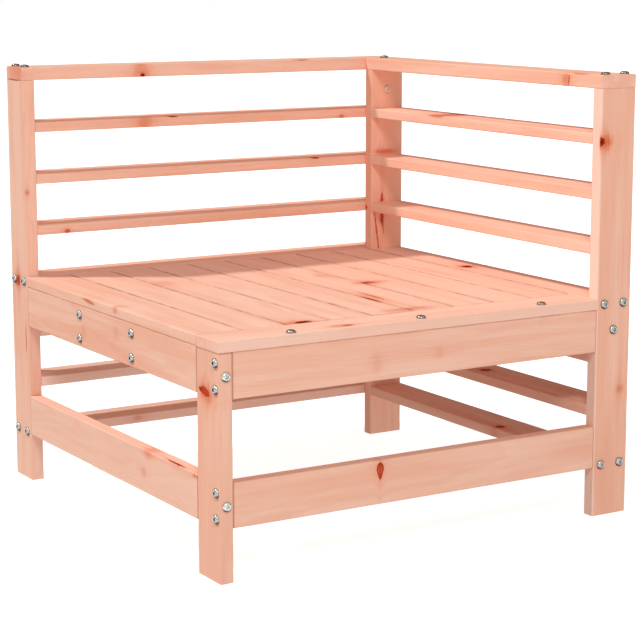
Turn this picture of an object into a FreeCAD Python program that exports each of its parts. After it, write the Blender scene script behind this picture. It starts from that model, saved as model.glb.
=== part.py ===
# Garden corner sofa: a slatted seat with a back panel along two sides, bolted up from planed boards.
# X runs along the front edge to the right, Y from the front to the back, Z up from the floor.
# The origin is on the floor, under the middle of the square footprint. All sizes are millimetres.
import FreeCAD, Part
import math
import os
from collections import defaultdict

from FreeCAD import Placement, Rotation, Vector

# Driving dimensions: the whole
width = 660.0
depth = 660.0
leg_height = 298.0

# Driving dimensions: boards
board_width = 60.0
frame_thick = 19.0
slat_thick = 15.0
top_thick = 19.0
apron_height = 60.0
stretcher_height = 60.0
edge_chamfer = 1.5

# Driving dimensions: layout
back_rails = 3
apron_gap = 2.0
foot_clearance = 45.0
stretcher_lift = 4.0
front_board_depth = 60.0
plank_count = 9
plank_gap = 2.0
plank_end_gap = 1.0
batten_spacing = 167.0
seat_bolt_spacing = 200.0
corner_block_depth = 30.0

# Driving dimensions: bolts and hidden joints
shank_radius = 3.0
shank_sides = 6
head_radius = 6.5
head_crown_radius = 4.5
head_height = 3.8
bolt_bite = 26.0
bolt_inset = 13.0
bolt_play = 0.2
tenon_length = 9.0
tenon_shoulder = 4.0
tenon_inset = 10.0
tenon_play = 0.2
tongue_length = 6.0

# Heights: a rail leaves room for an apron and its gap below the next rail
rail_pitch = apron_height + slat_thick + apron_gap
seat_top = leg_height + slat_thick
apron_bottom = leg_height - apron_height
apron_middle = leg_height - apron_height / 2
top_rail_bottom = leg_height + (back_rails + 1) * rail_pitch
lower_rails = int((leg_height - foot_clearance) // rail_pitch)
lowest_rail_bottom = leg_height - lower_rails * rail_pitch
stretcher_bottom = lowest_rail_bottom + stretcher_lift
stretcher_top = stretcher_bottom + stretcher_height
stretcher_middle = stretcher_bottom + stretcher_height / 2

# Places along X and Y: the side panel stands on the right, the rear panel at the back
x_left = -width / 2
x_right = width / 2
x_panel = x_right - board_width
x_panel_middle = x_right - board_width / 2
x_bearer_left = x_panel_middle - frame_thick / 2
x_bearer_right = x_panel_middle + frame_thick / 2
x_corner = x_right - frame_thick
y_front = -depth / 2
y_back = depth / 2
y_panel = y_back - board_width
y_rear_post = y_panel - frame_thick
y_leg_back = y_front + board_width

timbers = {}
tenons = defaultdict(list)
cuts = defaultdict(list)
bolts = defaultdict(list)


def block(x, y, z):
    corner = Vector(x[0], y[0], z[0])
    return Part.makeBox(x[1] - x[0], y[1] - y[0], z[1] - z[0], corner)


def widened(span, amount):
    return (span[0] - amount, span[1] + amount)


def pair(low, high):
    return (low + bolt_inset, high - bolt_inset)


# A board with its long edges eased, or only the upper two where the lower ones are never seen
def timber(name, x, y, z, along, upper_only=False):
    shape = block(x, y, z)
    direction = {"x": Vector(1, 0, 0), "y": Vector(0, 1, 0), "z": Vector(0, 0, 1)}[along]
    middle = (z[0] + z[1]) / 2
    edges = []
    for edge in shape.Edges:
        lengthwise = abs(edge.tangentAt(edge.FirstParameter).dot(direction)) > 0.99
        if lengthwise and (not upper_only or edge.CenterOfMass.z > middle):
            edges.append(edge)
    timbers[name] = shape.makeChamfer(edge_chamfer, edges)


# A stub tenon on one board, and its mortise with play all round in the other
def tenon(board, other, x, y, z):
    tenons[board].append(block(x, y, z))
    cuts[other].append(block(widened(x, tenon_play), widened(y, tenon_play), widened(z, tenon_play)))


# A shank, or the bore for one, down from the origin: it has few sides because it repeats so often
def shank(radius, length):
    corners = []
    for side in range(shank_sides + 1):
        angle = 2 * math.pi * side / shank_sides
        corners.append(Vector(radius * math.cos(angle), radius * math.sin(angle), 0))
    return Part.Face(Part.makePolygon(corners)).extrude(Vector(0, 0, -length))


# A bolt seated at a point, its head facing outward, through the named boards
def bolt(group, seat, outward, clamped, *boards):
    length = clamped + bolt_bite
    head = Part.makeCone(head_radius, head_crown_radius, head_height)
    shape = head.fuse(shank(shank_radius, length))
    bore = shank(shank_radius + bolt_play, length + bolt_play)
    place = Placement(seat, Rotation(Vector(0, 0, 1), outward))
    shape.Placement = place
    bore.Placement = place
    bolts[group].append(shape)
    for board in boards:
        cuts[board].append(bore)


to_left = Vector(-1, 0, 0)
to_right = Vector(1, 0, 0)
to_front = Vector(0, -1, 0)
to_back = Vector(0, 1, 0)
upward = Vector(0, 0, 1)


# The leg under the open corner and the four posts of the panels
def build_uprights():
    post_z = (0, top_rail_bottom)
    left_x = (x_left, x_left + frame_thick)
    right_x = (x_panel, x_right)
    timber("front_leg", left_x, (y_front, y_leg_back), (0, leg_height), "z")
    timber("left_post", left_x, (y_panel, y_back), post_z, "z")
    timber("right_post", right_x, (y_front, y_front + frame_thick), post_z, "z")
    timber("rear_post", right_x, (y_rear_post, y_panel), post_z, "z")
    timber("corner_post", (x_corner, x_right), (y_panel, y_back), post_z, "z")


# Two blocks on the corner post, each between two rear rails, that the rear post is bolted to
def build_corner_blocks():
    x = (x_bearer_left, x_corner)
    y = (y_panel, y_panel + corner_block_depth)
    across = (y[0] + tenon_inset, y[1] - tenon_inset)
    upper_z = (top_rail_bottom - rail_pitch + slat_thick, top_rail_bottom)
    lower_z = (leg_height - 2 * rail_pitch + slat_thick, leg_height - rail_pitch)
    below_top_bolt = top_rail_bottom - bolt_bite - 2 * shank_radius
    block_middle = (lower_z[0] + lower_z[1]) / 2
    for number, z, height in ((1, upper_z, below_top_bolt), (2, lower_z, block_middle)):
        name = f"corner_block_{number}"
        core = (z[0] + tenon_inset, z[1] - tenon_inset)
        timber(name, x, y, z, "z")
        tenon(name, "corner_post", (x_corner, x_corner + tenon_length), across, core)
        seat = Vector(x_panel_middle, y_rear_post, height)
        bolt("corner_bolts", seat, to_front, frame_thick, "rear_post", name)


# Flat rails of both panels: tenoned at the corner, and bolted at the seat and near the floor
def build_rails():
    levels = {"seat_rail": leg_height}
    for number in range(1, back_rails + 1):
        levels[f"back_rail_{number}"] = leg_height + number * rail_pitch
    for number in range(1, lower_rails + 1):
        levels[f"lower_rail_{number}"] = leg_height - number * rail_pitch
    bolted = ("seat_rail", f"lower_rail_{lower_rails}")
    x_start = x_left + frame_thick
    y_start = y_front + frame_thick
    across_rear = (y_panel + tenon_inset, y_back - tenon_inset)
    across_side = (x_panel + tenon_inset, x_right - tenon_inset)
    for level, z in levels.items():
        rear = f"rear_{level}"
        side = f"side_{level}"
        thick = (z, z + slat_thick)
        core = (z + tenon_shoulder, z + slat_thick - tenon_shoulder)
        timber(rear, (x_start, x_corner), (y_panel, y_back), thick, "x")
        timber(side, (x_panel, x_right), (y_start, y_rear_post), thick, "y")
        tenon(rear, "corner_post", (x_corner, x_corner + tenon_length), across_rear, core)
        tenon(side, "rear_post", across_side, (y_rear_post, y_rear_post + tenon_length), core)
        if level not in bolted:
            tenon(rear, "left_post", (x_start - tenon_length, x_start), across_rear, core)
            tenon(side, "right_post", across_side, (y_start - tenon_length, y_start), core)
            continue
        middle = z + slat_thick / 2
        for y in pair(y_panel, y_back):
            bolt("left_post_bolts", Vector(x_left, y, middle), to_left, frame_thick, "left_post", rear)
        for x in pair(x_panel, x_right):
            bolt("right_post_bolts", Vector(x, y_front, middle), to_front, frame_thick, "right_post", side)


# Top rails: the rear one runs through the corner and the side one butts against it
def build_top_rails():
    z = (top_rail_bottom, top_rail_bottom + top_thick)
    timber("rear_top_rail", (x_left, x_right), (y_panel, y_back), z, "x")
    timber("side_top_rail", (x_panel, x_right), (y_front, y_panel), z, "y")
    core = (x_corner + tenon_shoulder, x_right - tenon_shoulder)
    across = (y_panel + tenon_inset, y_back - tenon_inset)
    tenon("corner_post", "rear_top_rail", core, across, (z[0], z[0] + tenon_length))
    for y in pair(y_panel, y_back):
        seat = Vector(x_left + frame_thick / 2, y, z[1])
        bolt("top_rail_bolts", seat, upward, top_thick, "rear_top_rail", "left_post")
    for x in pair(x_panel, x_right):
        seat = Vector(x, y_front + frame_thick / 2, z[1])
        bolt("top_rail_bolts", seat, upward, top_thick, "side_top_rail", "right_post")
    seat = Vector(x_panel_middle, y_panel - frame_thick / 2, z[1])
    bolt("top_rail_bolts", seat, upward, top_thick, "side_top_rail", "rear_post")


# Aprons under the seat, and stretchers near the floor, on the two open sides
def build_aprons():
    front_x = (x_left + frame_thick, x_panel)
    front_y = (y_front, y_front + frame_thick)
    left_x = (x_left, x_left + frame_thick)
    left_y = (y_leg_back, y_panel)
    x_core = x_left + frame_thick / 2
    y_core = y_front + frame_thick / 2
    heights = {
        "apron": (apron_bottom, leg_height),
        "stretcher": (stretcher_bottom, stretcher_top),
    }
    for kind, z in heights.items():
        front = f"front_{kind}"
        left = f"left_{kind}"
        middle = (z[0] + z[1]) / 2
        timber(front, front_x, front_y, z, "x")
        timber(left, left_x, left_y, z, "y")
        for height in pair(*z):
            seat = Vector(x_left, y_core, height)
            bolt("leg_bolts", seat, to_left, frame_thick, "front_leg", front)
        seat = Vector(x_core, y_front, middle)
        bolt("leg_long_bolts", seat, to_front, board_width, "front_leg", left)
        seat = Vector(x_core, y_back, middle)
        bolt("left_post_long_bolts", seat, to_back, board_width, "left_post", left)
    held = [("front_stretcher", stretcher_middle)]
    held += [("front_apron", height) for height in pair(apron_bottom, leg_height)]
    for front, height in held:
        seat = Vector(x_right, y_core, height)
        bolt("right_post_long_bolts", seat, to_right, board_width, "right_post", front)


# A bearer under the side panel's seat rail, and two battens from it to the left apron
def build_seat_frame():
    z = (apron_bottom, leg_height)
    core = (apron_bottom + tenon_inset, leg_height - tenon_inset)
    y_start = y_front + frame_thick
    timber("side_bearer", (x_bearer_left, x_bearer_right), (y_start, y_rear_post), z, "y")
    across = (x_bearer_left + tenon_shoulder, x_bearer_right - tenon_shoulder)
    tenon("side_bearer", "rear_post", across, (y_rear_post, y_rear_post + tenon_length), core)
    seat = Vector(x_panel_middle, y_front, apron_middle)
    bolt("right_post_bolts", seat, to_front, frame_thick, "right_post", "side_bearer")
    apron_centre = (y_leg_back + y_panel) / 2
    for number, side in ((1, -1), (2, 1)):
        name = f"seat_batten_{number}"
        y = apron_centre + side * batten_spacing / 2
        thick = (y - frame_thick / 2, y + frame_thick / 2)
        across = (thick[0] + tenon_shoulder, thick[1] - tenon_shoulder)
        timber(name, (x_left + frame_thick, x_bearer_left), thick, z, "x")
        tenon(name, "side_bearer", (x_bearer_left, x_bearer_left + tenon_length), across, core)
        for height in pair(*z):
            bolt("batten_bolts", Vector(x_left, y, height), to_left, frame_thick, "left_apron", name)


# Seat boards: one across the front, and planks tongued into it and into the rear seat rail
def build_seat():
    z = (leg_height, seat_top)
    core = (leg_height + tenon_shoulder, seat_top - tenon_shoulder)
    y_joint = y_front + front_board_depth
    timber("seat_front_board", (x_left, x_panel), (y_front, y_joint), z, "x", upper_only=True)
    apron_centre = (x_left + frame_thick + x_panel) / 2
    for step in (-1, 0, 1):
        seat = Vector(apron_centre + step * seat_bolt_spacing, y_front + frame_thick / 2, seat_top)
        bolt("seat_board_bolts", seat, upward, slat_thick, "seat_front_board", "front_apron")
    plank_y = (y_joint + plank_end_gap, y_panel - plank_end_gap)
    front_tongue = (y_joint - tongue_length, plank_y[0])
    rear_tongue = (plank_y[1], y_panel + tongue_length)
    plank_pitch = (x_panel - x_left) / plank_count
    for number in range(plank_count):
        name = f"seat_plank_{number + 1}"
        start = x_left + number * plank_pitch
        x = (start, start + plank_pitch - plank_gap)
        timber(name, x, plank_y, z, "y", upper_only=True)
        across = (max(x[0], x_left + frame_thick) + tenon_inset, x[1] - tenon_inset)
        tenon(name, "seat_front_board", across, front_tongue, core)
        tenon(name, "rear_seat_rail", across, rear_tongue, core)


# Each board with its tenons, its mortises and its bores
def finished_boards():
    boards = {}
    for name, shape in timbers.items():
        if tenons[name]:
            shape = shape.fuse(tenons[name])
        if cuts[name]:
            shape = shape.cut(cuts[name])
        boards[name] = shape
    return boards


build_uprights()
build_corner_blocks()
build_rails()
build_top_rails()
build_aprons()
build_seat_frame()
build_seat()

pieces = finished_boards()
for group, shapes in bolts.items():
    pieces[group] = Part.makeCompound(shapes)

os.makedirs("parts", exist_ok=True)
for name, shape in pieces.items():
    shape.exportStep(f"parts/{name}.step")

whole = Part.makeCompound(list(pieces.values())).BoundBox
print(f"{len(pieces)} nodes, {sum(len(shape.Solids) for shape in pieces.values())} solids")
print(f"bounds {whole.XLength:.2f} x {whole.YLength:.2f} x {whole.ZLength:.2f} mm")
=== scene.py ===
import math
import random

import bmesh
import bpy
from mathutils import Matrix, Vector


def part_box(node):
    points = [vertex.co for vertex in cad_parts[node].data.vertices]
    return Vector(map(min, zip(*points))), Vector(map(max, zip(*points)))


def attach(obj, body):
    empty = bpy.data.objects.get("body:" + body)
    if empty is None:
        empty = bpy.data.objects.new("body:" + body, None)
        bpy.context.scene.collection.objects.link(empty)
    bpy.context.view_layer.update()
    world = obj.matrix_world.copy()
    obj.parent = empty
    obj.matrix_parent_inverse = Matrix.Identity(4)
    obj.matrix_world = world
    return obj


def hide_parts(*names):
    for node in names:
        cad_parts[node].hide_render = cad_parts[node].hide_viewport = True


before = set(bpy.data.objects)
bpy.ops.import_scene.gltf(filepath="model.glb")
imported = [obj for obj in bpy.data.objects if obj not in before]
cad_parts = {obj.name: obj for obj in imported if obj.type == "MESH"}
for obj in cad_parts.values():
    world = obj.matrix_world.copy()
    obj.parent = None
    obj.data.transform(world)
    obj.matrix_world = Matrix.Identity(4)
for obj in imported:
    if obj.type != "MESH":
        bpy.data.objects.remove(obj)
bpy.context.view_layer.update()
scene = bpy.context.scene
scene.view_settings.view_transform = "Standard"

white = (1, 1, 1, 1)
millimetres = 1000  # in one unit of the scene
noiseMiddle = 0.5  # a noise runs from 0 to 1


# Node wiring: a wrapped socket takes plain sums, and one method makes every node
class Flow:
    def __init__(self, bench, outlet):
        self.bench = bench
        self.outlet = outlet

    def also(self, name):  # another outlet of the same node
        return Flow(self.bench, self.outlet.node.outputs[name])

    def __add__(self, other):
        return self.bench.sum("ADD", self, other)

    def __radd__(self, other):
        return self.bench.sum("ADD", other, self)

    def __sub__(self, other):
        return self.bench.sum("SUBTRACT", self, other)

    def __rsub__(self, other):
        return self.bench.sum("SUBTRACT", other, self)

    def __mul__(self, other):
        return self.bench.sum("MULTIPLY", self, other)

    def __rmul__(self, other):
        return self.bench.sum("MULTIPLY", other, self)

    def __truediv__(self, other):
        return self.bench.sum("DIVIDE", self, other)

    def __rtruediv__(self, other):
        return self.bench.sum("DIVIDE", other, self)


class Bench:
    def __init__(self, tree):
        self.tree = tree

    def node(self, kind, settings=None, inlets=None, outlet=0):
        made = self.tree.nodes.new(kind)
        for key, value in (settings or {}).items():
            if key == "choices":
                self.addChoices(made, value)
            else:
                setattr(made, key, value)
        for key, value in (inlets or {}).items():
            self.feed(made.inputs[key], value)
        return Flow(self, made.outputs[outlet]) if made.outputs else made

    def feed(self, inlet, value):
        if isinstance(value, Flow):
            self.tree.links.new(value.outlet, inlet)
        else:
            inlet.default_value = value

    def addChoices(self, made, count):
        while len(made.index_switch_items) < count:
            made.index_switch_items.new()

    def sum(self, operation, *values):
        return self.node("ShaderNodeMath", {"operation": operation}, dict(enumerate(values)))

    def split(self, vector):
        first = self.node("ShaderNodeSeparateXYZ", inlets={0: vector})
        return first, first.also("Y"), first.also("Z")

    def join(self, x, y, z):
        return self.node("ShaderNodeCombineXYZ", inlets={0: x, 1: y, 2: z})

    def step(self, value, low, high):  # 0 below low, 1 above high, smooth between
        return self.node("ShaderNodeMapRange", {"interpolation_type": "SMOOTHSTEP"},
                         {"Value": value, "From Min": low, "From Max": high})

    def bell(self, value, narrow=1.0):  # 1 at 0, falling away on both sides
        return self.sum("EXPONENT", value * value * -narrow)

    def mix(self, factor, first, second):  # sockets 6 and 7 and outlet 2 are those for colours
        return self.node("ShaderNodeMix", {"data_type": "RGBA"}, {0: factor, 6: first, 7: second}, 2)

    def noise(self, vector, detail=2.0, roughness=0.5, scale=1.0):
        return self.node("ShaderNodeTexNoise", inlets={
            "Vector": vector, "Scale": scale, "Detail": detail, "Roughness": roughness})


def colour(red, green, blue):  # screen values 0 to 255, as seen, through the usual screen curve
    def linear(value):
        value /= 255
        return value / 12.92 if value <= 0.04045 else ((value + 0.055) / 1.055) ** 2.4
    return (linear(red), linear(green), linear(blue), 1.0)


def grey(level):  # share of full light
    return (level, level, level, 1)


def newFinish(name):
    finish = bpy.data.materials.new(name)
    finish.use_nodes = True
    finish.node_tree.nodes.clear()
    return finish, Bench(finish.node_tree)


def closeFinish(bench, shader):
    bench.node("ShaderNodeOutputMaterial", inlets={"Surface": shader})


def addToScene(name, data):
    added = bpy.data.objects.new(name, data)
    scene.collection.objects.link(added)
    return added


def stand(data, place, direction):  # a camera or lamp that looks along the direction
    holder = addToScene(data.name, data)
    holder.location = place
    holder.rotation_euler = direction.to_track_quat("-Z", "Y").to_euler()
    return holder


# Camera
view = {
    "place": (-1.4576, -2.4181, 0.7711),
    "yaw": 31.399,
    "pitch": -9.721,
    "focalPixels": 1949.67,
    "imagePixels": 640,
    "sensor": 36.0,
    "shiftY": -0.03,
}


def makeCamera():
    lens = bpy.data.cameras.new("photoCamera")
    lens.sensor_width = view["sensor"]
    lens.lens = view["focalPixels"] / view["imagePixels"] * view["sensor"]
    lens.shift_y = view["shiftY"]
    yaw, pitch = math.radians(view["yaw"]), math.radians(view["pitch"])
    aim = Vector((math.sin(yaw) * math.cos(pitch), math.cos(yaw) * math.cos(pitch), math.sin(pitch)))
    scene.camera = stand(lens, view["place"], aim)


makeCamera()
print("camera set")

# Studio: a white surround, brightest near the horizon and below in front, with a dark flag that only metal
# mirrors, a sun from behind on the left, a soft front lamp, and a white floor that lets most light from below
# through; a band is the pair of values between which one tone turns into the next
studio = {
    "high": grey(0.23),
    "low": grey(0.63),
    "below": grey(0.30),
    "belowFront": white,
    "skyBand": (0.2, 0.6),
    "horizonBand": (-0.1, 0.1),
    "frontBand": (0.1, 0.5),
    "flag": {"toward": (0.75, 0.66), "acrossBand": (0.38, 0.6), "topBand": (0.6, 0.8), "dim": 0.9},
    "sun": {"name": "backSun", "from": (-0.667, 0.40, 1.0), "strength": 1.88, "spread": 4.0},
    "fill": {"name": "frontFill", "place": (-1.3, -2.45, 2.6), "aim": (0, 0, 0.35),
             "size": (1.0, 0.8), "watts": 44.0},
    "floorSize": 60.0,
    "floorTone": grey(0.64),
    "floorGlow": 0.84,
    "floorPass": 0.8,
    "floorDrop": 0.0004,
}


def seenDirectly(bench):  # 1 for rays that show the background itself
    path = bench.node("ShaderNodeLightPath")
    seen = bench.sum("MAXIMUM", path.also("Is Camera Ray"), path.also("Is Glossy Ray"))
    return bench.sum("MAXIMUM", seen, path.also("Is Transmission Ray"))


def makeSurround():
    world = bpy.data.worlds.new("studio")
    scene.world = world
    world.use_nodes = True
    world.node_tree.nodes.clear()
    bench = Bench(world.node_tree)
    side, back, height = bench.split(bench.node("ShaderNodeTexCoord", outlet="Generated"))
    below = bench.mix(bench.step(0 - back, *studio["frontBand"]), studio["below"], studio["belowFront"])
    sky = bench.mix(bench.step(height, *studio["skyBand"]), studio["low"], studio["high"])
    sky = bench.mix(bench.step(height, *studio["horizonBand"]), below, sky)
    light = bench.node("ShaderNodeBackground", inlets={"Color": sky, "Strength": 1.0})
    flag = studio["flag"]
    toward = side * flag["toward"][0] + back * flag["toward"][1]
    screened = bench.step(toward, *flag["acrossBand"]) * (1 - bench.step(height, *flag["topBand"]))
    mirrored = 1 - bench.node("ShaderNodeLightPath", outlet="Is Camera Ray")
    dimming = screened * mirrored * flag["dim"]
    shown = bench.node("ShaderNodeBackground", inlets={"Color": white, "Strength": 1 - dimming})
    both = bench.node("ShaderNodeMixShader", inlets={0: seenDirectly(bench), 1: light, 2: shown})
    bench.node("ShaderNodeOutputWorld", inlets={"Surface": both})


def makeLamps():
    sun, fill = studio["sun"], studio["fill"]
    backSun = bpy.data.lights.new(sun["name"], "SUN")
    backSun.energy = sun["strength"]
    backSun.angle = math.radians(sun["spread"])
    stand(backSun, sun["from"], -Vector(sun["from"]))
    frontFill = bpy.data.lights.new(fill["name"], "AREA")
    frontFill.shape = "RECTANGLE"
    frontFill.size, frontFill.size_y = fill["size"]
    frontFill.energy = fill["watts"]
    stand(frontFill, fill["place"], Vector(fill["aim"]) - Vector(fill["place"]))


def makeFloor():
    half = studio["floorSize"] / 2
    mesh = bpy.data.meshes.new("studioFloor")
    corners = [(-half, -half), (half, -half), (half, half), (-half, half)]
    mesh.from_pydata([(x, y, -studio["floorDrop"]) for x, y in corners], [], [(0, 1, 2, 3)])
    finish, bench = newFinish("studioFloor")
    matt = bench.node("ShaderNodeBsdfDiffuse", inlets={"Color": studio["floorTone"]})
    glow = bench.node("ShaderNodeEmission", inlets={"Color": white, "Strength": studio["floorGlow"]})
    lit = bench.node("ShaderNodeAddShader", inlets={0: matt, 1: glow})
    clear = bench.node("ShaderNodeBsdfTransparent")
    thinned = bench.node("ShaderNodeMixShader", inlets={0: studio["floorPass"], 1: matt, 2: clear})
    both = bench.node("ShaderNodeMixShader", inlets={0: seenDirectly(bench), 1: thinned, 2: lit})
    closeFinish(bench, both)
    mesh.materials.append(finish)
    floor = addToScene("studioFloor", mesh)


makeSurround()
makeLamps()
makeFloor()
print("studio lit")

# Timber finish: lengths in millimetres, along and across the board's own grain; a band is the pair of values
# between which a mark comes up
timber = {
    "pale": colour(251, 201, 177),
    "warm": colour(246, 185, 157),
    "blush": colour(240, 168, 142),
    "late": colour(222, 144, 114),
    "paleBand": colour(253, 216, 197),
    "warmBand": (0.30, 0.70),
    "toneShift": 0.12,
    "blushBand": (0.50, 0.78),
    "blushShow": 0.42,
    "fibreBand": (0.42, 0.72),
    "fibreShow": 0.10,
    "paleBandStart": 0.5,  # share of its width where the paler band begins to fade
    "roughness": 0.60,
    "roughChange": 0.12,  # rougher along the fibre, smoother on a knot
    "specular": 0.05,
    "bumpStrength": 0.3,
    "bumpDepth": 0.0003,  # in the scene's unit
    "grainRelief": 0.35,
    "knotRelief": 0.5,
    "seedStep": 41.7,
}
# Growth rings: the bands are shares of one ring, early wood that turns dark and then ends short; the last
# four are limits for what is drawn
ring = {
    "gap": 4.6,
    "show": 0.14,
    "darkBand": (0.25, 0.88),
    "endBand": (0.90, 1.0),
    "wander": 26,
    "unevenScale": 0.09,
    "uneven": 2.2,
    "patchGain": 1.4,
    "patchLoss": 0.1,
    "pithAcross": 70,
    "pithDeep": (25, 75),
    "lean": 0.035,
    "tone": 0.5,
}
# Painted shade: the brown line in a joint, where shade falls between boards; bands in millimetres from the
# board's edge or end
joint = {
    "tone": colour(158, 88, 62),
    "show": 0.65,
    "sideBand": (0.2, 2.6),
    "endBand": (0.3, 2.6),
    "breakScale": 0.03,
    "breakBand": (0.3, 0.65),
    "leastShow": 0.35,
    "fadeIn": 6,
}
# Noises in the wood: scale along the grain, scale across it, detail, roughness
noises = {
    "wobble": (0.16, 0.16, 2.0, 0.5),
    "streaks": (0.02, 0.7, 2.0, 0.5),
    "wander": (0.006, 0.02, 2.0, 0.5),
    "fibre": (0.012, 1.1, 3.0, 0.6),
    "band": (0.0035, 0.055, 2.0, 0.5),
    "patch": (0.007, 0.035, 2.0, 0.5),
    "ringPatch": (0.004, 0.03, 1.0, 0.5),
}

# Boards whose figure differs from the usual: strength and gap of the rings, a pith place (across, deep) with
# its lean, a tone (paler below 0, warmer above), how much of the usual streaks shows, a paler band along one
# long edge (side, width, strength), the long edges and the ends that face a joint, and how strong the painted
# shade line there is or where it begins
joined = {"ends": (-1, 1), "endGap": 0.5}
planks = [  # tone, edges in a joint, strength at the front end
    (-0.3, (1,), 0.05), (-1.0, (-1, 1), 0.05), (-0.7, (-1, 1), 0.3),
    (-1.1, (-1, 1), 0.05), (-0.8, (-1, 1), 0.4), (-1.2, (-1, 1), 0.05),
    (-0.7, (-1, 1), 0.05), (-1.2, (-1, 1), 0.05), (-0.9, (-1, 1), 0.05),
]
figures = {
    "front_leg": {"tone": 0.6, "ends": (1,), "endGap": 0.45},
    "front_apron": {**joined, "gaps": (1,), "gapShow": 0.3},
    "left_apron": {**joined, "gaps": (1,), "gapShow": 0.3},
    "left_stretcher": {**joined, "tone": -1.4, "calm": 0.5},
    "front_stretcher": {**joined, "rings": 0.16, "ringGap": 8.5, "pith": (12, 45), "lean": 0.055},
    "left_post": {"tone": -0.9},
    "right_post": {"rings": 0.08, "tone": 0.8, "paleBand": (-1, 3, 0.75)},
    "rear_post": {"tone": 1.2},
    "side_top_rail": {"tone": 0.6},
    "seat_front_board": {"rings": 0.08, "calm": 0.8, "tone": -0.8, "paleBand": (-1, 3, 0.35)},
    "side_seat_rail": {"rings": 0.07, "calm": 0.5, "tone": -0.6, "gaps": (-1,), "gapFrom": -268},
    **{f"side_back_rail_{number}": {"tone": -0.7} for number in (1, 2, 3)},
    # painted light: the rear lower rails sit in shade under the seat, and their paler tone and a pale band
    # over the whole board make that shade less warm
    **{f"rear_lower_rail_{number}": {"rings": 0.08, "calm": 0.5, "tone": -1.6, "paleBand": (1, 200, paleBand)}
       for number, paleBand in [(1, 0.9), (2, 0.9), (3, 0.3)]},
    **{f"seat_plank_{number}": {"rings": 0.07, "calm": 0.9, "tone": tone, "gaps": gaps,
                                "ends": (-1,), "endGap": endGap}
       for number, (tone, gaps, endGap) in enumerate(planks, 1)},
}

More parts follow.
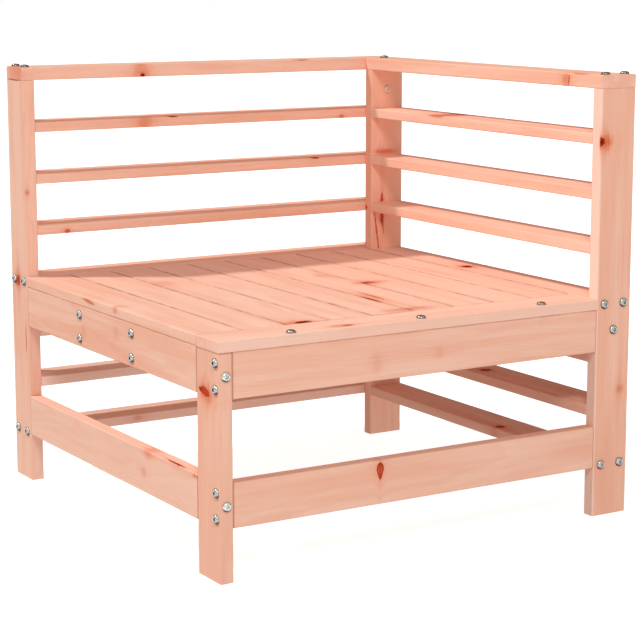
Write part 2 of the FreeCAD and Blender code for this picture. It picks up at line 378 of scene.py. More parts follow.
# Knots: a point on the face in the part's millimetres, the way the branch runs, half sizes along and across
# the grain, and where wanted a longer tail, a tilt, a soft edge or the depth it fades in; then where wanted
# how ragged or wavy its outline is, how dark the knot and its core are, how far the grain beside it is
# stained, and how strong its glow is
acrossJoint = {"at": (5, -254, 313), "through": "z", "half": (10, 30), "soft": 0.9,
               "dark": 0.44, "core": 0.1, "flare": 20, "glow": 0.3}  # it lies on both sides of a seat joint
knots = {
    "front_stretcher": [
        {"at": (-90, -330, 117.5), "through": "y", "half": (10.3, 6.0), "tail": -13.5, "tilt": 90,
         "ragged": 0.0, "wavy": 0.2, "dark": 0.85, "core": 0.0, "flare": 8, "glow": 0.45},
        {"at": (-90, -330, 117.5), "through": "y", "half": (6, 1.4), "tilt": 90, "soft": 0.7,
         "ragged": 0.0, "wavy": 0.2, "dark": 0.6, "core": 0.4, "flare": 2, "glow": 0.0},
    ],
    "front_leg": [
        {"at": (-330, -295, 242), "through": "x", "half": (13, 9), "tilt": 75, "soft": 0.9,
         "dark": 0.25, "core": 0.0, "flare": 14, "glow": 0.6},
        {"at": (-330, -293, 243.6), "through": "x", "half": (10.5, 5.2), "tilt": 75, "soft": 0.3,
         "ragged": 0.0, "dark": 1.0, "core": 0.1, "flare": 16, "glow": 0.5},
        {"at": (-330, -287, 245), "through": "x", "half": (5, 3.2), "tilt": 75, "soft": 0.6,
         "ragged": 0.0, "dark": 0.8, "core": 0.9, "flare": 4, "glow": 0.0},
    ],
    "right_post": [
        {"at": (272, -330, 533), "through": "y", "half": (9, 12), "soft": 0.9, "deep": 2,
         "dark": 0.5, "core": 0.0, "flare": 10, "glow": 0.9},
        {"at": (270, -330, 533), "through": "y", "half": (6.5, 6.5), "deep": 2,
         "dark": 1.0, "core": 1.0, "flare": 10, "glow": 0.5},
        {"at": (314, -330, 181), "through": "y", "half": (6, 5), "soft": 0.7, "deep": 8,
         "dark": 0.25, "flare": 24, "glow": 0.4},
    ],
    "left_post": [
        # not a knot: painted shade, a dark line where the rear top rail sits on the post
        {"at": (-330, 302, 606), "through": "x", "half": (1.4, 30), "soft": 0.3, "deep": 4,
         "dark": 0.75, "core": 0.6, "flare": 1, "glow": 0.0},
        {"at": (-330, 304.8, 304), "through": "x", "half": (9, 7), "soft": 0.4, "deep": 12,
         "dark": 0.85, "core": 0.4, "flare": 26, "glow": 1.0},
        {"at": (-330, 280.8, 220), "through": "x", "half": (22, 1.2), "deep": 10,
         "dark": 0.6, "core": 0.2, "flare": 10, "glow": 0.4},
        {"at": (-327, 270, 440), "through": "y", "half": (4, 3), "soft": 0.5, "deep": 3,
         "dark": 0.3, "flare": 10, "glow": 0.4},
    ],
    "rear_post": [
        {"at": (291, 251, 394), "through": "y", "half": (4, 2.6), "tail": 14,
         "dark": 0.85, "flare": 20, "glow": 0.5},
        {"at": (291, 251, 364), "through": "y", "half": (6, 2.8), "tail": -12,
         "dark": 0.9, "flare": 24, "glow": 0.6},
        {"at": (280.7, 251, 343), "through": "y", "half": (32, 1.6), "tilt": -8,
         "dark": 0.7, "flare": 4, "glow": 0.35},
        {"at": (292.6, 251, 349), "through": "y", "half": (14, 1.1), "tilt": -10,
         "dark": 0.5, "flare": 4, "glow": 0.3},
        {"at": (297.5, 251, 473), "through": "y", "half": (4, 16), "soft": 0.6,
         "dark": 0.4, "flare": 6, "glow": 0.5},
        {"at": (270, 266, 381), "through": "x", "half": (3, 3), "deep": 4,
         "dark": 0.7, "flare": 4, "glow": 0.4},
        {"at": (286, 251, 68), "through": "y", "half": (6, 1.0),
         "dark": 0.7, "flare": 6, "glow": 0.2},
    ],
    "seat_plank_1": [
        {"at": (-330, 52, 308), "through": "x", "half": (18, 2.4), "tilt": 6, "soft": 0.4, "deep": 20,
         "dark": 0.5, "flare": 14, "glow": 0.3},
        {"at": (-330, -33, 309), "through": "x", "half": (6, 4), "soft": 0.7, "deep": 20,
         "dark": 0.25, "flare": 10, "glow": 0.3},
    ],
    "seat_plank_3": [
        {"at": (-184, -264, 313), "through": "z", "half": (8, 16), "soft": 0.9,
         "dark": 0.35, "core": 0.0, "flare": 20, "glow": 0.5},
        {"at": (-171, -265, 313), "through": "z", "half": (9, 11),
         "dark": 1.0, "core": 1.0, "flare": 16, "glow": 0.5},
        {"at": (-181, 110, 313), "through": "z", "half": (20, 12), "soft": 0.9,
         "dark": 0.1, "flare": 20, "glow": 0.25},
    ],
    "seat_plank_5": [
        acrossJoint,
        {"at": (1, -168, 313), "through": "z", "half": (26, 1.6), "soft": 0.2,
         "dark": 0.8, "core": 0.5, "flare": 20, "glow": 0.3},
        {"at": (-68, -168, 313), "through": "z", "half": (8, 5), "soft": 0.6,
         "dark": 0.3, "flare": 20, "glow": 0.4},
    ],
    "seat_plank_6": [
        {"at": (56, 54, 313), "through": "z", "half": (16, 8), "soft": 0.8,
         "dark": 0.16, "core": 0.0, "flare": 16, "glow": 0.3},
        acrossJoint,
        {"at": (11, -148, 313), "through": "z", "half": (34, 9), "soft": 0.9,
         "dark": 0.18, "core": 0.0, "flare": 30, "glow": 0.4},
        {"at": (18.5, -138, 313), "through": "z", "half": (36, 1.8), "tilt": 3, "soft": 0.4,
         "dark": 0.6, "core": 0.1, "flare": 30, "glow": 0.2},
        {"at": (4.5, -160, 313), "through": "z", "half": (24, 2.2), "soft": 0.2,
         "dark": 0.9, "core": 0.7, "flare": 30, "glow": 0.2},
        {"at": (66, -36, 313), "through": "z", "half": (8, 10), "soft": 0.9,
         "dark": 0.3, "core": 0.0, "flare": 20, "glow": 0.3},
    ],
    "seat_plank_7": [
        {"at": (78, -36, 313), "through": "z", "half": (9, 22), "soft": 0.9,
         "dark": 0.4, "core": 0.0, "flare": 20, "glow": 0.5},
        {"at": (77, -37, 313), "through": "z", "half": (8, 9), "soft": 0.35,
         "dark": 0.7, "core": 0.5, "flare": 24, "glow": 0.6},
    ],
    "seat_front_board": [
        {"at": (-147, -313, 313), "through": "z", "half": (10, 6), "soft": 0.9, "deep": 2,
         "dark": 0.26, "core": 0.0, "flare": 20, "glow": 0.3},
        {"at": (-131, -314, 313), "through": "z", "half": (8, 4.5), "soft": 0.4, "deep": 1.5,
         "dark": 0.7, "core": 0.6, "flare": 16, "glow": 0.4},
    ],
    "side_seat_rail": [
        {"at": (294, 14, 313), "through": "z", "half": (10, 9),
         "dark": 1.0, "core": 1.0, "flare": 20, "glow": 1.0},
    ],
    "left_apron": [
        {"at": (-330, 72, 263), "through": "x", "half": (7, 7), "soft": 0.9,
         "dark": 0.08, "flare": 14, "glow": 0.16},
        {"at": (-330, -35, 277), "through": "x", "half": (6, 6), "soft": 0.9,
         "dark": 0.08, "flare": 14, "glow": 0.16},
    ],
    "front_apron": [
        {"at": (-96, -330, 263), "through": "y", "half": (6, 9), "soft": 0.9,
         "dark": 0.08, "flare": 24, "glow": 0.16},
        {"at": (3, -330, 266), "through": "y", "half": (5, 5), "soft": 0.9,
         "dark": 0.08, "flare": 16, "glow": 0.16},
    ],
    "left_stretcher": [
        {"at": (-327.5, -207, 131), "through": "z", "half": (28, 2), "soft": 0.2, "deep": 5,
         "dark": 0.9, "core": 0.7, "flare": 30, "glow": 0.4},
        {"at": (-330, -127, 131), "through": "x", "half": (12, 7), "soft": 0.9,
         "dark": 0.12, "flare": 14, "glow": 0.5},
        {"at": (-330, -114, 99), "through": "x", "half": (7, 4), "soft": 0.9,
         "dark": 0.14, "flare": 14, "glow": 0.3},
        {"at": (-330, -263, 127), "through": "x", "half": (7, 2), "soft": 0.4,
         "dark": 0.4, "flare": 14, "glow": 0.4},
    ],
    "rear_lower_rail_3": [
        {"at": (-150, 270, 75), "through": "y", "half": (9, 3), "soft": 0.9,
         "dark": 0.25, "core": 0.1, "flare": 16, "glow": 0.3},
    ],
    "rear_top_rail": [
        {"at": (-330, 296, 616), "through": "x", "half": (9, 16), "soft": 0.9,
         "dark": 0.2, "core": 0.0, "flare": 8, "glow": 0.4},
        {"at": (-135, 270, 614), "through": "y", "half": (13, 11), "soft": 0.9, "deep": 12,
         "dark": 0.24, "core": 0.0, "flare": 14, "glow": 0.5},
        {"at": (-133, 270, 609), "through": "y", "half": (4, 3), "soft": 0.2, "deep": 12,
         "dark": 0.9, "core": 1.0, "flare": 10, "glow": 0.6},
        {"at": (150, 270, 625), "through": "y", "half": (14, 1.5), "soft": 0.4, "deep": 8,
         "dark": 0.5, "core": 0.6, "flare": 8, "glow": 0.2},
    ],
    "side_top_rail": [
        {"at": (270, -250, 616), "through": "x", "half": (9, 7), "soft": 0.8,
         "dark": 0.28, "flare": 14, "glow": 0.4},
        {"at": (270, -257, 614), "through": "x", "half": (1.5, 6), "tilt": 12, "soft": 0.3,
         "dark": 0.7, "flare": 6, "glow": 0.2},
        {"at": (270, -274, 625), "through": "x", "half": (26, 1.4), "soft": 0.4, "deep": 6,
         "dark": 0.5, "flare": 14, "glow": 0.3},
    ],
    "rear_back_rail_3": [
        {"at": (-131, 270, 537), "through": "y", "half": (12, 6), "soft": 0.9, "deep": 12,
         "dark": 0.22, "core": 0.2, "flare": 16, "glow": 0.5},
        {"at": (-82, 270, 544), "through": "y", "half": (10, 1.5), "soft": 0.3, "deep": 8,
         "dark": 0.9, "core": 1.0, "flare": 8, "glow": 0.2},
        {"at": (224, 270, 530), "through": "y", "half": (5, 4), "soft": 0.3,
         "dark": 0.4, "flare": 14, "glow": 0.5},
    ],
    "rear_back_rail_2": [
        {"at": (175, 270, 467), "through": "y", "half": (8, 1.6), "soft": 0.3, "deep": 8,
         "dark": 0.9, "core": 1.0, "flare": 8, "glow": 0.2},
    ],
    "rear_back_rail_1": [
        {"at": (-263, 270, 378), "through": "y", "half": (5, 3), "soft": 0.2,
         "dark": 0.6, "flare": 12, "glow": 0.5},
    ],
    "side_back_rail_3": [
        {"at": (270, 68, 543.6), "through": "x", "half": (22, 1.7), "soft": 0.4,
         "dark": 0.5, "flare": 20, "glow": 0.4},
    ],
    "side_lower_rail_2": [
        {"at": (293, -40, 159), "through": "z", "half": (9, 8),
         "dark": 0.9, "flare": 26, "glow": 0.6},
    ],
    "side_lower_rail_3": [
        {"at": (281, -95, 82), "through": "z", "half": (8, 7),
         "dark": 0.9, "flare": 24, "glow": 0.6},
    ],
}
knotForm = {
    "heart": colour(204, 66, 12),
    "rim": colour(140, 22, 0),
    "core": colour(100, 6, 0),
    "wisp": colour(214, 100, 54),
    "halo": colour(238, 126, 78),
    "taper": 0.9,  # how much a longer tail narrows
    "wavy": 0.8,
    "ragged": 0.2,
    "streakBand": (0.38, 0.66),
    "edge": (0.85, 1.05),  # bands of a knot are in its half sizes
    "softEdge": (0.7, 0.5),  # how much further in and out a soft edge runs
    "rimBand": (0.45, 0.95),
    "coreBand": (0.3, 0.9),
    "coreShow": 0.3,
    "haloStart": 0.85,
    "haloFade": 1.3,
    "haloShow": 0.75,
    "bend": 1.6,  # half lengths over which the grain swings round
    "aside": (0.25, 0.85),  # half widths: away from the knot, and more beside it
    "wispWidth": (0.4, 1.0),  # share of the half width, and millimetres
    "wispLeast": 0.35,
    "push": 0.75,
    "pushNarrow": 0.16,
    "pushSoft": 0.9,
}


def drawFigure(board):  # what a board's own figure leaves open is usual or drawn by its seed
    dice = random.Random(board["seed"])
    drawn = {
        "pith": (dice.uniform(-ring["pithAcross"], ring["pithAcross"]),
                 dice.choice((-1, 1)) * dice.uniform(*ring["pithDeep"])),
        "lean": dice.uniform(-ring["lean"], ring["lean"]),
        "tone": dice.uniform(-ring["tone"], ring["tone"]),
    }
    usual = {"rings": ring["show"], "ringGap": ring["gap"], "calm": 1.0, "ends": (), "gaps": (),
             "gapShow": joint["show"]}
    return {**drawn, **usual, **figures.get(board["node"], {})}


def grainNoise(bench, kind, seed, along, across, deep):
    lengthScale, crossScale, detail, roughness = noises[kind]
    spot = bench.join(along * lengthScale + seed, across * crossScale, deep * crossScale)
    return bench.noise(spot, detail, roughness)


def addKnot(bench, spot, along, sideways, depth, wobble, streaks):
    form = knotForm
    longHalf, wideHalf = spot["half"]
    tail = spot.get("tail", longHalf)
    taper = form["taper"] if "tail" in spot else 0.0
    soft = spot.get("soft", 0.0)
    tilt = math.radians(spot.get("tilt", 0))
    straight = (along * math.cos(tilt) + sideways * math.sin(tilt)) * math.copysign(1, tail)
    across = sideways * math.cos(tilt) - along * math.sin(tilt)
    tailPart = bench.sum("MAXIMUM", straight / abs(tail), 0.0)
    longPart = bench.sum("MAXIMUM", tailPart, straight / -longHalf)
    widePart = across / wideHalf * (1 + tailPart * taper)
    reach = bench.sum("SQRT", longPart * longPart + widePart * widePart)
    wavy, ragged = spot.get("wavy", form["wavy"]), spot.get("ragged", form["ragged"])
    reach = reach * (1 + (wobble - noiseMiddle) * wavy) * (1 + ragged / 2 - streaks * ragged)
    inside = bench.bell(depth / spot["deep"]) if "deep" in spot else 1.0
    edgeStart = form["edge"][0] - form["softEdge"][0] * soft
    edgeEnd = form["edge"][1] + form["softEdge"][1] * soft
    heart = (1 - bench.step(reach, edgeStart, edgeEnd)) * inside
    # stained grain swings round the knot and runs on as wisps
    away, more = form["aside"]
    besideKnot = wideHalf * (away + more * bench.bell(along / (form["bend"] * longHalf)))
    wispWidth = form["wispWidth"][0] * wideHalf + form["wispWidth"][1]
    wisp = bench.bell((bench.sum("ABSOLUTE", sideways) - besideKnot) / wispWidth)
    wisp = wisp * bench.sum("EXPONENT", bench.sum("ABSOLUTE", along) * (-1.0 / spot["flare"]))
    beyond = bench.sum("MAXIMUM", reach - form["haloStart"], 0.0)
    return {
        "spot": spot,
        "push": bench.bell(reach, form["pushNarrow"]) * inside * (1 - form["pushSoft"] * soft),
        "heart": heart,
        "rim": bench.step(reach, *form["rimBand"]) * heart * (1 - soft),
        "core": (1 - bench.step(reach, *form["coreBand"])) * inside,
        "halo": bench.sum("EXPONENT", beyond * -form["haloFade"]) * inside,
        "wisp": wisp * (form["wispLeast"] + (1 - form["wispLeast"]) * streaks) * inside,
    }


def knotMarks(bench, board, place, seed):  # the board's knots, and its grain pushed aside by them
    grain, wide, thin = board["order"]
    along, aside = place[grain], {wide: place[wide], thin: place[thin]}
    marks = []
    spots = knots.get(board["node"], [])
    if spots:
        wobble = grainNoise(bench, "wobble", seed, along, place[wide], place[thin])
        streaks = grainNoise(bench, "streaks", seed, along, place[wide], place[thin])
        streaks = bench.step(streaks, *knotForm["streakBand"])
    for spot in spots:
        at = [spot["at"][axis] - board["middle"][axis] * millimetres for axis in range(3)]
        through = "xyz".index(spot["through"])
        other = thin if through == wide else wide
        offset = aside[other] - at[other]
        depth = place[through] - at[through]
        mark = addKnot(bench, spot, along - at[grain], offset, depth, wobble, streaks)
        aside[other] = aside[other] - offset * mark["push"] * knotForm["push"]
        marks.append(mark)
    return marks, aside[wide], aside[thin]


def edgeBand(bench, board, across, side, inner, outer):  # 1 at one long edge, 0 further in
    return 1 - bench.step(board["halfWidth"] - across * side, inner, outer)


# painted shade: the brown joint lines stand for shade between boards
def jointShade(bench, board, figure, seed, along, across):  # brown lines on edges and ends that face a joint
    shade = 0.0
    for side in figure["ends"]:
        line = 1 - bench.step(board["halfLength"] - along * side, *joint["endBand"])
        shade = line * figure["endGap"] + shade
    if figure["gaps"]:
        lineBreaks = bench.step(bench.noise(bench.join(along * joint["breakScale"], seed, 0.0)), *joint["breakBand"])
        lineBreaks = joint["leastShow"] + (1 - joint["leastShow"]) * lineBreaks
    for side in figure["gaps"]:
        line = edgeBand(bench, board, across, side, *joint["sideBand"])
        if "gapFrom" in figure:
            start = figure["gapFrom"] - board["middle"][board["order"][0]] * millimetres
            line = line * bench.step(along, start, start + joint["fadeIn"])
        shade = line * lineBreaks * figure["gapShow"] + shade
    return shade


def growthRings(bench, figure, seed, along, across, deep):  # round a pith that leans off the board's line
    pithAcross, pithDeep = figure["pith"]
    wander = grainNoise(bench, "wander", seed, along, across, deep)
    fromPith, depthFromPith = across - pithAcross, deep - pithDeep
    radius = bench.sum("SQRT", fromPith * fromPith + depthFromPith * depthFromPith)
    radius = radius + along * figure["lean"] + (wander - noiseMiddle) * ring["wander"]
    uneven = bench.noise(bench.join(radius * ring["unevenScale"], seed, 0.0), detail=1.0)
    turn = bench.sum("FRACT", radius / figure["ringGap"] + uneven * ring["uneven"])
    return bench.step(turn, *ring["darkBand"]) * (1 - bench.step(turn, *ring["endBand"]))


def knotTint(bench, base, mark):
    spot = mark["spot"]
    coreShow = spot.get("core", knotForm["coreShow"])
    base = bench.mix(mark["halo"] * spot["glow"] * knotForm["haloShow"], base, knotForm["halo"])
    base = bench.mix(mark["wisp"] * spot["glow"], base, knotForm["wisp"])
    base = bench.mix(mark["heart"] * spot["dark"], base, knotForm["heart"])
    base = bench.mix(mark["rim"] * spot["dark"], base, knotForm["rim"])
    return bench.mix(mark["core"] * spot["dark"] * coreShow, base, knotForm["core"])


def timberFinish(name, board):
    finish, bench = newFinish(name)
    axes = bench.split(bench.node("ShaderNodeTexCoord", outlet="Object"))
    place = [(axes[axis] - board["middle"][axis]) * millimetres for axis in range(3)]
    along, across, _ = (place[axis] for axis in board["order"])
    figure = drawFigure(board)
    seed = board["seed"] * timber["seedStep"]
    shade = jointShade(bench, board, figure, seed, along, across)
    marks, across, deep = knotMarks(bench, board, place, seed)
    rings = growthRings(bench, figure, seed, along, across, deep)
    fibre = grainNoise(bench, "fibre", seed, along, across, deep)
    band = grainNoise(bench, "band", seed, along, across, deep)
    patch = grainNoise(bench, "patch", -seed, along, across, deep)
    ringPatch = grainNoise(bench, "ringPatch", -seed, along, across, deep)
    calm = figure["calm"]
    streaky = (band - noiseMiddle) * calm + noiseMiddle + figure["tone"] * timber["toneShift"]
    base = bench.mix(bench.step(streaky, *timber["warmBand"]), timber["pale"], timber["warm"])
    # paler along one long edge, or over the whole board where the band is wider than the board
    if "paleBand" in figure:
        side, width, strength = figure["paleBand"]
        paleBand = edgeBand(bench, board, across, side, width * timber["paleBandStart"], width)
        base = bench.mix(paleBand * strength, base, timber["paleBand"])
    blush = bench.step(patch, *timber["blushBand"]) * (timber["blushShow"] * calm)
    base = bench.mix(blush, base, timber["blush"])
    late = rings * (ringPatch * ring["patchGain"] - ring["patchLoss"]) * figure["rings"]
    base = bench.mix(late, base, timber["late"])
    streak = bench.step(fibre, *timber["fibreBand"]) * timber["fibreShow"]
    base = bench.mix(streak, base, timber["late"])
    hearts = 0.0
    for mark in marks:
        base = knotTint(bench, base, mark)
        hearts = mark["heart"] * mark["spot"]["dark"] + hearts
    if shade:  # the plain number 0 where no edge or end faces a joint
        # painted shade of the joints, mixed into the wood's colour
        base = bench.mix(shade, base, joint["tone"])
    height = fibre * timber["grainRelief"] - rings * timber["grainRelief"] + hearts * timber["knotRelief"]
    bump = bench.node("ShaderNodeBump", inlets={
        "Strength": timber["bumpStrength"], "Distance": timber["bumpDepth"], "Height": height})
    rough = timber["roughness"] + fibre * timber["roughChange"] - hearts * timber["roughChange"]
    shader = bench.node("ShaderNodeBsdfPrincipled", inlets={
        "Base Color": base, "Roughness": rough, "Specular IOR Level": timber["specular"], "Normal": bump})
    closeFinish(bench, shader)
    return finish


# Boards: one tree sweeps an eased section along the grain, and a bevel eases the ends
easing = {
    "radius": 0.0018,
    "steps": 4,
    "endRadius": 0.0008,
    "endSteps": 2,
    "endAngle": 60,  # degrees
    "flush": 1e-5,  # how near a corner is to a face that it lies on
}
boardNodes = [
    "front_leg", "left_post", "right_post", "rear_post", "corner_post", "corner_block_1", "corner_block_2",
    "rear_seat_rail", "side_seat_rail",
    *[f"{side}_{level}_rail_{number}" for side in ("rear", "side")
      for level in ("back", "lower") for number in (1, 2, 3)],
    "rear_top_rail", "side_top_rail",
    "front_apron", "left_apron", "front_stretcher", "left_stretcher",
    "side_bearer", "seat_batten_1", "seat_batten_2", "seat_front_board",
    *[f"seat_plank_{number}" for number in range(1, 10)],
]


def newTree(name, sockets):
    tree = bpy.data.node_groups.new(name, "GeometryNodeTree")
    ids = {}
    for label, kind in sockets.items():
        item = tree.interface.new_socket(label, in_out="INPUT", socket_type="NodeSocket" + kind)
        ids[label] = item.identifier
    tree.interface.new_socket("Mesh", in_out="OUTPUT", socket_type="NodeSocketGeometry")
    bench = Bench(tree)
    inlet = bench.node("NodeGroupInput")
    return tree, ids, bench, {label: inlet.also(label) for label in sockets}


def closeTree(bench, made, finish):
    made = bench.node("GeometryNodeRealizeInstances", inlets={"Geometry": made})
    made = bench.node("GeometryNodeSetMaterial", inlets={"Geometry": made, "Material": finish})
    bench.node("NodeGroupOutput", inlets={"Mesh": made})


def useTree(piece, tree, ids, values):  # a modifier's inputs go by the sockets' identifiers
    modifier = piece.modifiers.new(tree.name, "NODES")
    modifier.node_group = tree
    for label, value in values.items():
        modifier[ids[label]] = value


def asPlainMesh(piece):
    graph = bpy.context.evaluated_depsgraph_get()
    mesh = bpy.data.meshes.new_from_object(
        piece.evaluated_get(graph), preserve_all_data_layers=True, depsgraph=graph)
    piece.modifiers.clear()
    piece.data = mesh
    mesh.name = piece.name


def boardTree():
    tree, ids, bench, given = newTree("easedBoard", {
        "Length": "Float", "Width": "Float", "Thickness": "Float", "Edge Radius": "Float",
        "Edge Steps": "Int", "Turn": "Rotation", "Middle": "Vector", "Finish": "Material"})
    section = bench.node("GeometryNodeCurvePrimitiveQuadrilateral", inlets={
        "Width": given["Width"], "Height": given["Thickness"]})
    section = bench.node("GeometryNodeFilletCurve", {"mode": "POLY"}, {
        "Curve": section, "Count": given["Edge Steps"], "Radius": given["Edge Radius"]})
    half = given["Length"] / 2
    line = bench.node("GeometryNodeCurvePrimitiveLine", inlets={
        "Start": bench.join(0.0, 0.0, 0 - half), "End": bench.join(0.0, 0.0, half)})
    board = bench.node("GeometryNodeCurveToMesh", inlets={
        "Curve": line, "Profile Curve": section, "Fill Caps": True})
    board = bench.node("GeometryNodeTransform", inlets={
        "Geometry": board, "Rotation": given["Turn"], "Translation": given["Middle"]})
    board = bench.node("GeometryNodeSetShadeSmooth", inlets={"Geometry": board, "Shade Smooth": True})
    closeTree(bench, board, given["Finish"])
    return tree, ids


def boardPlace(node):  # the board without its tenons: a tenon is set in from the outer faces beside it
    low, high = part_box(node)
    size = high - low
    grain, wide, thin = order = sorted(range(3), key=lambda axis: -size[axis])
    corners = [corner.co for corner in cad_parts[node].data.vertices]
    for axis, beside in ((grain, wide), (wide, grain), (thin, grain)):
        faces = low[beside], high[beside]
        ends = [corner[axis] for corner in corners
                if min(abs(corner[beside] - face) for face in faces) < easing["flush"]]
        low[axis], high[axis] = min(ends), max(ends)
    return low, high, order


def makeBoards():
    tree, ids = boardTree()
    for number, node in enumerate(boardNodes, 1):
        low, high, order = boardPlace(node)
        size, middle = high - low, (low + high) / 2
        grain, wide, thin = order
        turn = Matrix.Identity(3)
        for column, axis in enumerate((wide, thin, grain)):
            turn.col[column] = [1.0 if row == axis else 0.0 for row in range(3)]
        if turn.determinant() < 0:
            turn.col[1] = -turn.col[1]
        board = {
            "node": node, "order": order, "middle": middle, "seed": number,
            "halfWidth": size[wide] * millimetres / 2, "halfLength": size[grain] * millimetres / 2,
        }
        finish = timberFinish("timber_" + node, board)
        piece = addToScene("board_" + node, bpy.data.meshes.new(node))
        useTree(piece, tree, ids, {
            "Length": size[grain], "Width": size[wide], "Thickness": size[thin],
            "Edge Radius": easing["radius"], "Edge Steps": easing["steps"],
            "Turn": turn.to_euler(), "Middle": middle, "Finish": finish})
        ends = piece.modifiers.new("easedEnds", "BEVEL")
        ends.width = easing["endRadius"]
        ends.segments = easing["endSteps"]
        ends.limit_method = "ANGLE"
        ends.angle_limit = math.radians(easing["endAngle"])
        ends.use_clamp_overlap = False
        piece.modifiers.new("flatFaces", "WEIGHTED_NORMAL")
        asPlainMesh(piece)
        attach(piece, "root")
        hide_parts(node)
    print(len(boardNodes), "boards made")


makeBoards()

# Bolts: domed heads with a hexagon socket
bolt = {
    "headRadius": 0.0065,
    "headHeight": 0.0038,
    "socketWidth": 0.0044,
    "socketDepth": 0.0016,
    "shankRadius": 0.003,
    "tip": (0.8, 0.3),  # shares of the shank's radius: width of the end, height of its chamfer
    "foot": (0.96, 0.06),  # shares of the head's radius and height
    "flatTop": 0.45,  # share of the radius
    "sideWall": 0.17,  # share of the height
    "mouth": (1.22, 0.93),  # shares of the socket's width and the head's height
    "drillPoint": 0.12,  # share of the height
    "domeSteps": 5,
    "sides": 36,
    "crease": 38,  # degrees
    "weld": 1e-6,
    "seed": 7,
}
# Painted shade: how much darker each stretch is, on the way from the tip into the socket, so that the socket
# and the foot of the head look shaded
boltShade = {
    "shank": 0.3, "neck": 0.4, "foot": 0.3, "wall": 0.2,
    "dome": 0.0, "mouth": 0.1, "rim": 0.2, "socket": 0.35,
}
# Zinc: speckle and cloud are noises; painted shade darkens what faces down, standing in for a dark reflection
# from below
zinc = {
    "speckle": {"scale": 900.0, "detail": 3.0, "roughness": 0.6},
    "cloud": {"scale": 260.0, "detail": 2.0, "roughness": 0.5},
    "downShadeBand": (0.1, 0.5),
    "downShadeShow": 0.9,
    "roughness": 0.2,
    "roughChange": 0.12,
    "bumpStrength": 0.2,
    "bumpDepth": 0.0001,
}
# Its finishes, one zinc in lighter and darker copies toned for how each set of bolts is lit (the corner
# copy is not metallic and takes the wood's tone, as a bolt deep in shade): how metallic, the two tones of
# the cloud, the tone of painted shade
zincTones = {
    "bolt_zinc": (1.0, colour(176, 178, 175), colour(214, 214, 210), colour(62, 52, 46)),
    "bolt_plain_zinc": (1.0, colour(146, 147, 144), colour(184, 184, 180), colour(62, 50, 46)),
    "bolt_zinc_shaded_seat": (1.0, colour(128, 116, 106), colour(160, 148, 136), colour(80, 66, 56)),
    "bolt_dim_zinc": (1.0, colour(100, 90, 82), colour(128, 116, 106), colour(70, 58, 50)),
    "bolt_zinc_shaded_corner": (0.0, colour(224, 196, 170), colour(230, 202, 176), colour(218, 188, 162)),
}
left, right, front, rear, up = (-1, 0, 0), (1, 0, 0), (0, -1, 0), (0, 1, 0), (0, 0, 1)
boltNodes = {  # the way the heads face, and their finish
    "leg_bolts": (left, "bolt_plain_zinc"),
    "left_post_bolts": (left, "bolt_plain_zinc"),
    "batten_bolts": (left, "bolt_plain_zinc"),
    "right_post_long_bolts": (right, "bolt_zinc"),
    "leg_long_bolts": (front, "bolt_zinc"),
    "right_post_bolts": (front, "bolt_plain_zinc"),
    "corner_bolts": (front, "bolt_zinc_shaded_corner"),
    "left_post_long_bolts": (rear, "bolt_zinc"),
    "top_rail_bolts": (up, "bolt_dim_zinc"),
    "seat_board_bolts": (up, "bolt_zinc_shaded_seat"),
}


def zincFinish(name):
    metal, deepCloud, paleCloud, dark = zincTones[name]
    finish, bench = newFinish(name)
    spot = bench.node("ShaderNodeTexCoord", outlet="Object")
    speckle = bench.noise(spot, **zinc["speckle"])
    tint = bench.mix(bench.noise(spot, **zinc["cloud"]), deepCloud, paleCloud)
    shade = bench.node("ShaderNodeAttribute", {"attribute_name": "shade"}, outlet="Fac")
    # painted shade: darker where the surface faces down
    upward = bench.split(bench.node("ShaderNodeNewGeometry", outlet="Normal"))[2]
    downShade = bench.step(0 - upward, *zinc["downShadeBand"]) * zinc["downShadeShow"]
    # painted shade from the rings and from what faces down, mixed into the zinc's tint
    tint = bench.mix(bench.sum("MAXIMUM", shade, downShade), tint, dark)
    bump = bench.node("ShaderNodeBump", inlets={
        "Strength": zinc["bumpStrength"], "Distance": zinc["bumpDepth"], "Height": speckle})
    rough = zinc["roughness"] + speckle * zinc["roughChange"]
    shader = bench.node("ShaderNodeBsdfPrincipled", inlets={
        "Base Color": tint, "Metallic": metal, "Roughness": rough, "Normal": bump})
    closeFinish(bench, shader)
    return finish


# Rings from the shank's tip over the dome into the socket: radius, height, whether a hexagon, painted shade
def boltRings(given):
    head, tall = given["Head Radius"], given["Head Height"]
    flat, sunk = given["Socket Width"] / 2, tall - given["Socket Depth"]
    shank, tail = given["Shank Radius"], 0 - given["Shank Length"]
    tipWidth, tipRise = bolt["tip"]
    footWidth, footRise = bolt["foot"]
    mouthWidth, mouthRise = bolt["mouth"]
    flatTop, sideWall = bolt["flatTop"], bolt["sideWall"]
    dome = []
    for step in range(bolt["domeSteps"] + 1):
        rise = math.pi / 2 * step / bolt["domeSteps"]
        width = flatTop + (1 - flatTop) * math.cos(rise)
        height = sideWall + (1 - sideWall) * math.sin(rise)
        dome.append((head * width, tall * height, 0, boltShade["dome"]))
    return [
        (0.0, tail, 0, boltShade["shank"]),
        (shank * tipWidth, tail, 0, boltShade["shank"]),
        (shank, tail + shank * tipRise, 0, boltShade["shank"]),
        (shank, 0.0, 0, boltShade["neck"]),
        (head * footWidth, 0.0, 0, boltShade["foot"]),
        (head, tall * footRise, 0, boltShade["wall"]),
        *dome,
        (flat * mouthWidth, tall, 0, boltShade["mouth"]),
        (flat, tall * mouthRise, 1, boltShade["rim"]),
        (flat, sunk, 1, boltShade["socket"]),
        (0.0, sunk - tall * bolt["drillPoint"], 0, boltShade["socket"]),
    ]


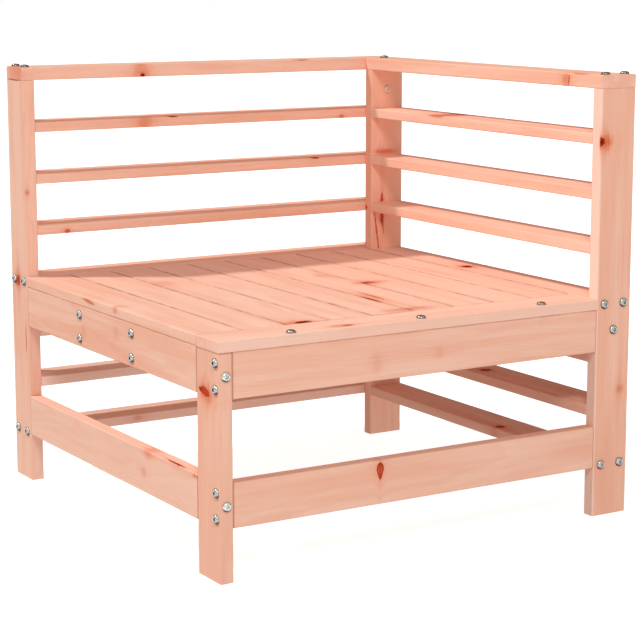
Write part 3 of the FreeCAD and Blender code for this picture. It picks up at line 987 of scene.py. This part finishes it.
def boltTree():
    tree, ids, bench, given = newTree("socketBolts", {
        "Seats": "Geometry", "Head Radius": "Float", "Head Height": "Float", "Socket Width": "Float",
        "Socket Depth": "Float", "Shank Radius": "Float", "Shank Length": "Float", "Sides": "Int",
        "Seed": "Int", "Finish": "Material"})
    rings = boltRings(given)
    # a flat grid of size 1 round the origin is rolled up: its columns are angles, its rows are the rings
    grid = bench.node("GeometryNodeMeshGrid", inlets={
        "Size X": 1.0, "Size Y": 1.0, "Vertices X": given["Sides"] + 1, "Vertices Y": len(rings)})
    x, y, _ = bench.split(bench.node("GeometryNodeInputPosition"))
    angle = (x + 0.5) * (2 * math.pi)
    row = bench.sum("ROUND", (y + 0.5) * (len(rings) - 1))
    picked = []
    for column in zip(*rings):
        picked.append(bench.node("GeometryNodeIndexSwitch", {"data_type": "FLOAT", "choices": len(rings)},
                                 {0: row, **dict(enumerate(column, 1))}))
    radius, height, sixSided, shade = picked
    sixth = math.pi / 3
    turn = bench.sum("FLOORED_MODULO", angle, sixth) - sixth / 2
    radius = radius * (1 + sixSided * (1 / bench.sum("COSINE", turn) - 1))
    spot = bench.join(radius * bench.sum("COSINE", angle), radius * bench.sum("SINE", angle), height)
    one = bench.node("GeometryNodeStoreNamedAttribute", {"data_type": "FLOAT", "domain": "POINT"}, {
        "Geometry": grid, "Name": "shade", "Value": shade})
    one = bench.node("GeometryNodeSetPosition", inlets={"Geometry": one, "Position": spot})
    one = bench.node("GeometryNodeMergeByDistance", inlets={"Geometry": one, "Distance": bolt["weld"]})
    crease = bench.node("FunctionNodeCompare", {"data_type": "FLOAT", "operation": "GREATER_THAN"}, {
        "A": bench.node("GeometryNodeInputMeshEdgeAngle"), "B": math.radians(bolt["crease"])})
    one = bench.node("GeometryNodeSetShadeSmooth", inlets={"Geometry": one, "Shade Smooth": True})
    one = bench.node("GeometryNodeSetShadeSmooth", {"domain": "EDGE"}, {
        "Geometry": one, "Selection": crease, "Shade Smooth": False})
    # each bolt turns about its own axis by chance; sockets 2 and 3 and outlet 1 are those for numbers
    outward = bench.node("GeometryNodeInputNamedAttribute", {"data_type": "FLOAT_VECTOR"}, {
        "Name": "outward"})
    aim = bench.node("FunctionNodeAlignRotationToVector", {"axis": "Z"}, {"Vector": outward})
    spin = bench.node("FunctionNodeRandomValue", {"data_type": "FLOAT"}, {
        2: 0.0, 3: 2 * math.pi, "Seed": given["Seed"]}, 1)
    spin = bench.node("FunctionNodeAxisAngleToRotation", inlets={"Axis": (0, 0, 1), "Angle": spin})
    aim = bench.node("FunctionNodeRotateRotation", {"rotation_space": "LOCAL"}, {0: aim, 1: spin})
    bolts = bench.node("GeometryNodeInstanceOnPoints", inlets={
        "Points": given["Seats"], "Instance": one, "Rotation": aim})
    closeTree(bench, bolts, given["Finish"])
    return tree, ids


def boltSeats(node, outward):  # where the head of each separate bolt meets the wood, and the shank's length
    mesh = bmesh.new()
    mesh.from_mesh(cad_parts[node].data)
    bmesh.ops.remove_doubles(mesh, verts=mesh.verts, dist=bolt["weld"])
    waiting = dict.fromkeys(mesh.verts)  # keeps the mesh's own order, so each run turns the sockets alike
    seats, length = [], 0.0
    while waiting:
        grown = [waiting.popitem()[0]]
        for corner in grown:
            for edge in corner.link_edges:
                other = edge.other_vert(corner)
                if other in waiting:
                    del waiting[other]
                    grown.append(other)
        low = Vector([min(corner.co[axis] for corner in grown) for axis in range(3)])
        high = Vector([max(corner.co[axis] for corner in grown) for axis in range(3)])
        reach = max(corner.co.dot(outward) for corner in grown)
        tail = min(corner.co.dot(outward) for corner in grown)
        middle = (low + high) / 2
        seats.append(middle + outward * (reach - bolt["headHeight"] - middle.dot(outward)))
        length = reach - tail - bolt["headHeight"]
    mesh.free()
    return seats, length


def makeBolts():
    tree, ids = boltTree()
    finishes = {name: zincFinish(name) for name in zincTones}
    count = 0
    for number, (node, (direction, finish)) in enumerate(boltNodes.items()):
        outward = Vector(direction)
        seats, length = boltSeats(node, outward)
        mesh = bpy.data.meshes.new(node)
        mesh.from_pydata(seats, [], [])
        facing = mesh.attributes.new("outward", "FLOAT_VECTOR", "POINT")
        facing.data.foreach_set("vector", [part for _ in seats for part in outward])
        piece = addToScene("set_" + node, mesh)
        useTree(piece, tree, ids, {
            "Head Radius": bolt["headRadius"], "Head Height": bolt["headHeight"],
            "Socket Width": bolt["socketWidth"], "Socket Depth": bolt["socketDepth"],
            "Shank Radius": bolt["shankRadius"], "Shank Length": length, "Sides": bolt["sides"],
            "Seed": bolt["seed"] + number, "Finish": finishes[finish]})
        asPlainMesh(piece)
        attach(piece, "root")
        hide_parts(node)
        count += len(seats)
    print(count, "bolts made")


makeBolts()
